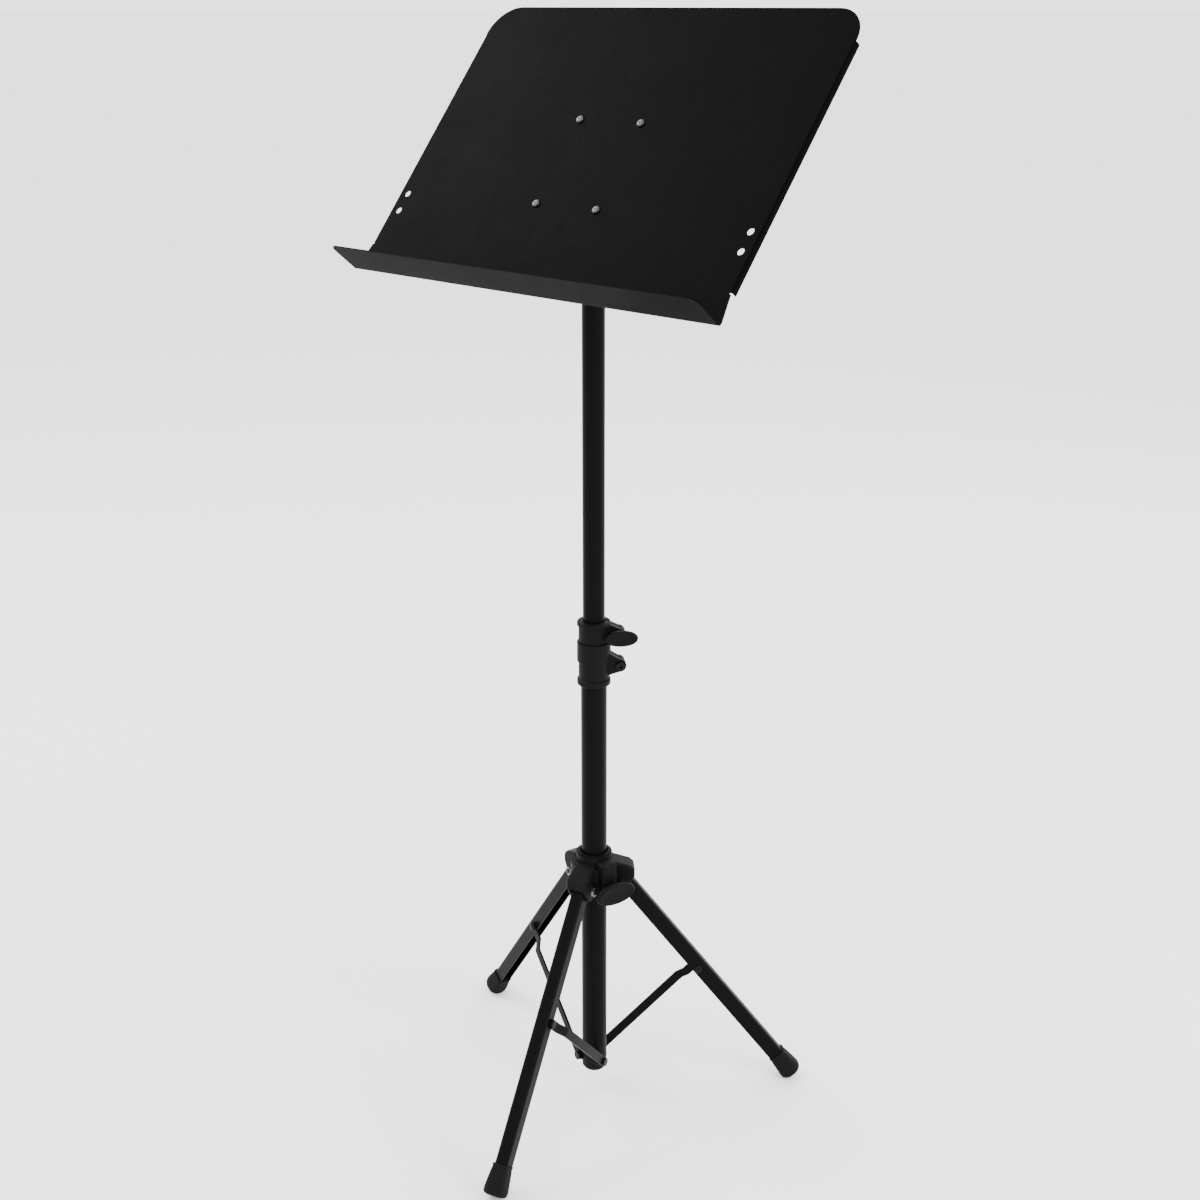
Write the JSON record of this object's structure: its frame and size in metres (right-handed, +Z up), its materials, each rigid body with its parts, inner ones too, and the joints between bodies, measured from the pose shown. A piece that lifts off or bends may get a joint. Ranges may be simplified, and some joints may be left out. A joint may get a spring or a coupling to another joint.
{
  "type": "music stand",
  "caption": "Black folding orchestra music stand with a solid tilting desk, telescopic mast, clamp collar and a tripod base with struts.",
  "frame": {"origin": "on the floor, on the mast's axis", "axes": "+Z up along the mast; the player stands on the -Y side, facing the desk; +X is the player's right"},
  "size_m": [0.517, 0.4431, 1.2704],
  "materials": {
    "black_steel": "satin",
    "desk_steel": "satin",
    "black_plastic": "matte",
    "black_rubber": "matte",
    "zinc_steel": "satin",
    "bright_screw": "gloss",
    "dark_steel": "semi_gloss"
  },
  "bodies": {
    "mast": {"lower_tube": "black_steel", "base_fitting": "black_plastic", "base_pins": "dark_steel", "collar_upper": "black_plastic", "collar_lower": "black_plastic", "collar_bolt": "bright_screw", "collar_bolt_nut": "zinc_steel", "collar_nut": "zinc_steel"},
    "height_clamp": {"collar_knob": "black_plastic", "collar_screw": "zinc_steel"},
    "glide": {"tube_glide": "black_plastic"},
    "neck": {"upper_tube": "black_steel", "tilt_head": "black_plastic", "head_pin": "zinc_steel", "tilt_washers": "black_plastic"},
    "desk": {"desk_plate": "desk_steel", "desk_screws": "bright_screw", "desk_nuts": "zinc_steel", "bracket_left": "black_steel", "bracket_right": "black_steel", "tilt_bolt": "zinc_steel"},
    "tilt_clamp": {"tilt_knob": "black_plastic"},
    "front_strut": {"strut_front": "black_steel"},
    "right_strut": {"strut_right": "black_steel"},
    "left_strut": {"strut_left": "black_steel"},
    "front_leg": {"leg_front": "black_steel", "foot_front": "black_rubber", "rivet_front": "dark_steel"},
    "right_leg": {"leg_right": "black_steel", "foot_right": "black_rubber", "rivet_right": "dark_steel"},
    "left_leg": {"leg_left": "black_steel", "foot_left": "black_rubber", "rivet_left": "dark_steel"},
    "slider": {"hub": "black_plastic", "hub_bushing": "black_plastic", "hub_insert": "zinc_steel", "hub_pins": "dark_steel", "hub_pin_nuts": "zinc_steel"},
    "hub_clamp": {"hub_knob": "black_plastic", "hub_screw": "zinc_steel"}
  },
  "joints": [
    {"name": "tripod_fold", "type": "hinge", "parent": "mast", "child": "front_strut", "pos_m": [0.01882, -0.00397, 0.04], "axis": [-0.9613, -0.2756, 0], "range_deg": [0, 36]},
    {"name": "front_leg_on_strut", "type": "hinge", "parent": "front_strut", "child": "front_leg", "pos_m": [0.03487, -0.12159, 0.162], "axis": [-0.9613, -0.2756, 0], "range_deg": [-72.5, 0]},
    {"name": "slider_on_front_leg", "type": "hinge", "parent": "front_leg", "child": "slider", "pos_m": [0.00854, -0.02979, 0.288], "axis": [-0.9613, -0.2756, 0], "range_deg": [0, 36.5]},
    {"name": "right_leg_fold", "type": "hinge", "parent": "slider", "child": "right_leg", "pos_m": [0.02153, 0.0223, 0.288], "axis": [0.7193, -0.6947, 0], "range_deg": [-36.5, 0]},
    {"name": "left_leg_fold", "type": "hinge", "parent": "slider", "child": "left_leg", "pos_m": [-0.03008, 0.0075, 0.288], "axis": [0.2419, 0.9703, 0], "range_deg": [-36.5, 0]},
    {"name": "right_strut_fold", "type": "hinge", "parent": "mast", "child": "right_strut", "pos_m": [-0.00598, 0.01828, 0.04], "axis": [0.7193, -0.6947, 0], "range_deg": [0, 36]},
    {"name": "left_strut_fold", "type": "hinge", "parent": "mast", "child": "left_strut", "pos_m": [-0.01285, -0.01432, 0.04], "axis": [0.2419, 0.9703, 0], "range_deg": [0, 36]},
    {"name": "hub_clamp_turn", "type": "hinge", "parent": "slider", "child": "hub_clamp", "pos_m": [0.03396, -0.00847, 0.288], "axis": [0.9703, -0.2419, 0], "range_deg": [-180, 180]},
    {"name": "height_slide", "type": "slide", "parent": "mast", "child": "glide", "axis": [0, 0, 1], "range_m": [-0.345, 0.07]},
    {"name": "desk_swivel", "type": "hinge", "parent": "glide", "child": "neck", "pos_m": [0, 0, 0.45], "axis": [0, 0, 1], "range_deg": [-180, 180]},
    {"name": "desk_tilt", "type": "hinge", "parent": "neck", "child": "desk", "pos_m": [0, 0, 1.072], "axis": [1, 0, 0], "range_deg": [-50, 39.5]},
    {"name": "tilt_clamp_turn", "type": "hinge", "parent": "desk", "child": "tilt_clamp", "pos_m": [0.03, 0, 1.072], "axis": [1, 0, 0], "range_deg": [-180, 180]},
    {"name": "height_clamp_turn", "type": "hinge", "parent": "mast", "child": "height_clamp", "pos_m": [0.01864, 0.02221, 0.6005], "axis": [-0.766, 0.6428, 0], "range_deg": [-180, 180]}
  ],
  "couplings": [
    {"joint": "front_leg_on_strut", "follows": "tripod_fold", "ratio": -2.0115},
    {"joint": "slider_on_front_leg", "follows": "tripod_fold", "ratio": 1.0115},
    {"joint": "right_leg_fold", "follows": "tripod_fold", "ratio": -1.0115},
    {"joint": "left_leg_fold", "follows": "tripod_fold", "ratio": -1.0115},
    {"joint": "right_strut_fold", "follows": "tripod_fold", "ratio": 1},
    {"joint": "left_strut_fold", "follows": "tripod_fold", "ratio": 1}
  ]
}
